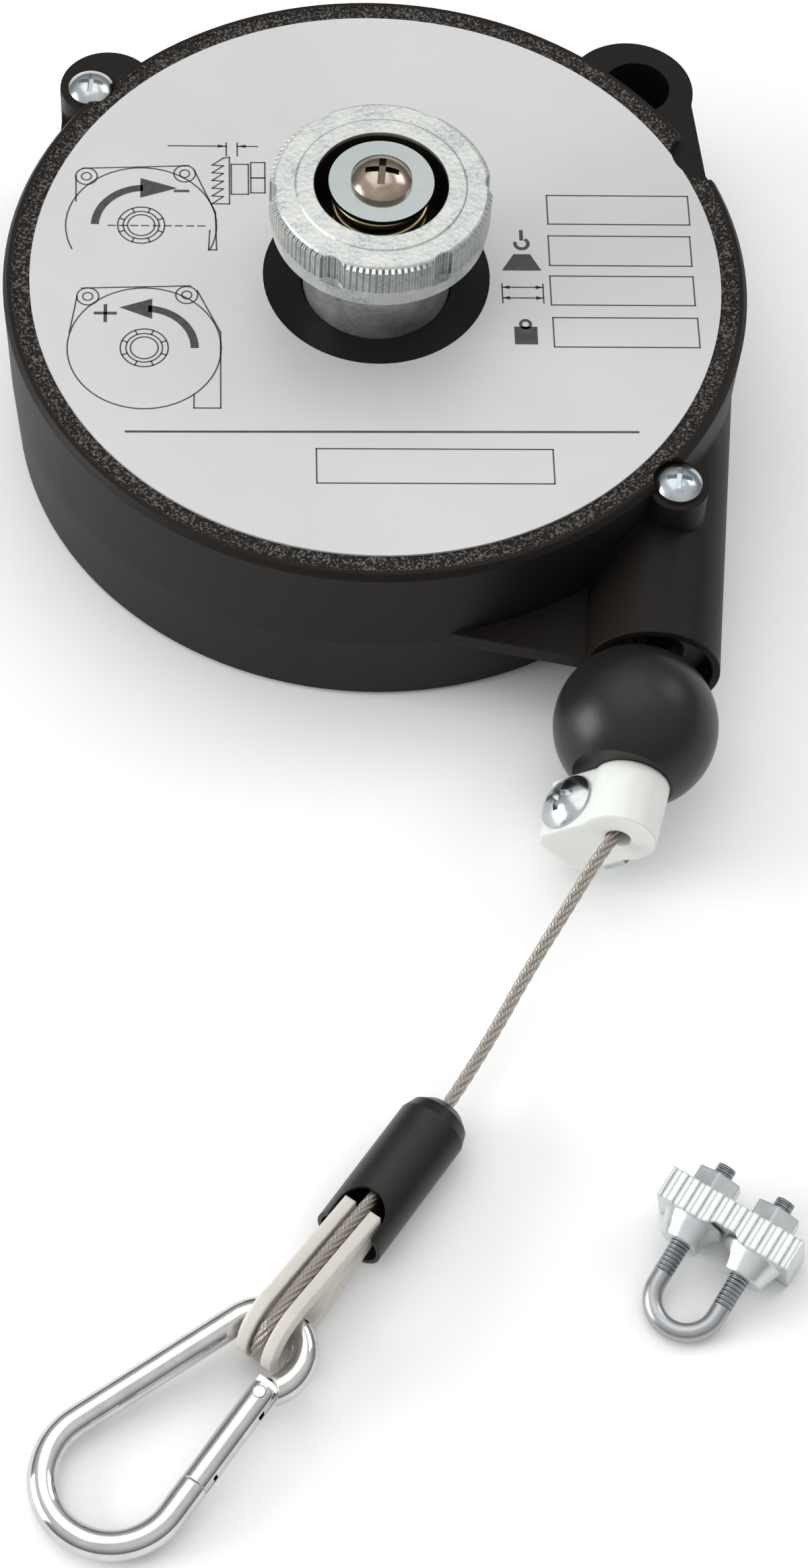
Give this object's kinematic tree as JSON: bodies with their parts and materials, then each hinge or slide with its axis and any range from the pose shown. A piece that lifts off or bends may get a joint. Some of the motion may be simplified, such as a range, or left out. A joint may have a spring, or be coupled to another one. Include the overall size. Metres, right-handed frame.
{
  "type": "tool balancer",
  "caption": "Small spring tool balancer: black round plastic casing with a zinc tension knob, wire rope, rubber stop ball, thimble and snap hook, with a loose rope clip.",
  "frame": {"origin": "on the drum's axis at the casing's flat back", "axes": "+Z out of the name plate along the drum's axis; the neck points to -Y at the +X side; the hanging eye is at +X +Y"},
  "size_m": [0.135, 0.2692, 0.06],
  "materials": {
    "case_plastic": "satin black, textured rim",
    "plate_aluminium": "satin silver-grey sheet",
    "zinc": "bluish zinc plate",
    "guide_plastic": "smooth black",
    "drum_plastic": "smooth dark grey",
    "brass": "drawn brass",
    "spring_steel": "blued and oiled",
    "rope_steel": "stranded steel",
    "knob_zinc": "zinc plate with a yellow-green tint",
    "screw_yellow": "yellow zinc plate",
    "rubber": "matte black",
    "nylon": "natural white, slightly translucent",
    "ferrule_copper": "pressed copper",
    "hook_chrome": "bright plate",
    "clip_zinc": "pale bluish zinc plate"
  },
  "bodies": {
    "housing": {"rear_case": "case_plastic", "front_case": "case_plastic", "name_plate": "plate_aluminium", "case_screws": "zinc", "rope_guide": "guide_plastic"},
    "drum": {"drum": "drum_plastic", "drum_bush": "brass", "drum_cover": "drum_plastic", "rope_turns": "rope_steel"},
    "spindle": {"spindle": "spring_steel", "spiral_spring": "spring_steel", "knob_spring": "brass", "knob_washer": "zinc", "knob_screw": "screw_yellow"},
    "knob": {"knob": "knob_zinc"},
    "rope_end": {"rope_lead": "rope_steel", "stop_ball": "rubber", "clamp_block": "nylon", "clamp_screw": "zinc", "clamp_nut": "zinc", "rope": "rope_steel", "rope_sleeve": "rubber", "ferrule": "ferrule_copper", "thimble": "nylon"},
    "hook": {"carabiner": "hook_chrome", "gate_rivet": "hook_chrome"},
    "gate": {"gate": "hook_chrome"},
    "clip": {"u_bolt": "clip_zinc", "clip_saddle": "clip_zinc", "clip_nuts": "clip_zinc"}
  },
  "joints": [
    {"name": "drum_spin", "type": "hinge", "parent": "housing", "child": "drum", "pos_m": [0, 0, 0.0145], "axis": [0, 0, -1], "range_deg": [0, 1938.3], "stiffness_Nm_per_rad": 0.0025, "springref_deg": -2291.83},
    {"name": "rope_travel", "type": "slide", "parent": "housing", "child": "rope_end", "axis": [-0.0202, -0.9998, 0], "range_m": [0, 1.60016]},
    {"name": "knob_turn", "type": "hinge", "parent": "housing", "child": "spindle", "pos_m": [0, 0, 0.03], "axis": [0, 0, 1], "range_deg": [0, 1440]},
    {"name": "knob_pull", "type": "slide", "parent": "spindle", "child": "knob", "axis": [0, 0, 1], "range_m": [0, 0.004], "stiffness_N_per_m": 1500, "springref_m": -0.004, "deforming": ["knob_spring"]},
    {"name": "hook_swing", "type": "hinge", "parent": "rope_end", "child": "hook", "pos_m": [-0.00046, -0.17146, 0.00608], "axis": [-0.8511, 0.525, 0], "range_deg": [-45, 45]},
    {"name": "gate_swing", "type": "hinge", "parent": "hook", "child": "gate", "pos_m": [-0.00309, -0.18351, 0.00518], "axis": [0.0597, 0.0615, -0.9963], "range_deg": [0, 28], "stiffness_Nm_per_rad": 0.02, "springref_deg": -28.65},
    {"name": "clip_lift", "type": "slide", "parent": "housing", "child": "clip", "axis": [0, 0, 1], "range_m": [0, 0.05]}
  ],
  "couplings": [
    {"joint": "rope_travel", "follows": "drum_spin", "m_per_rad": 0.0473}
  ]
}
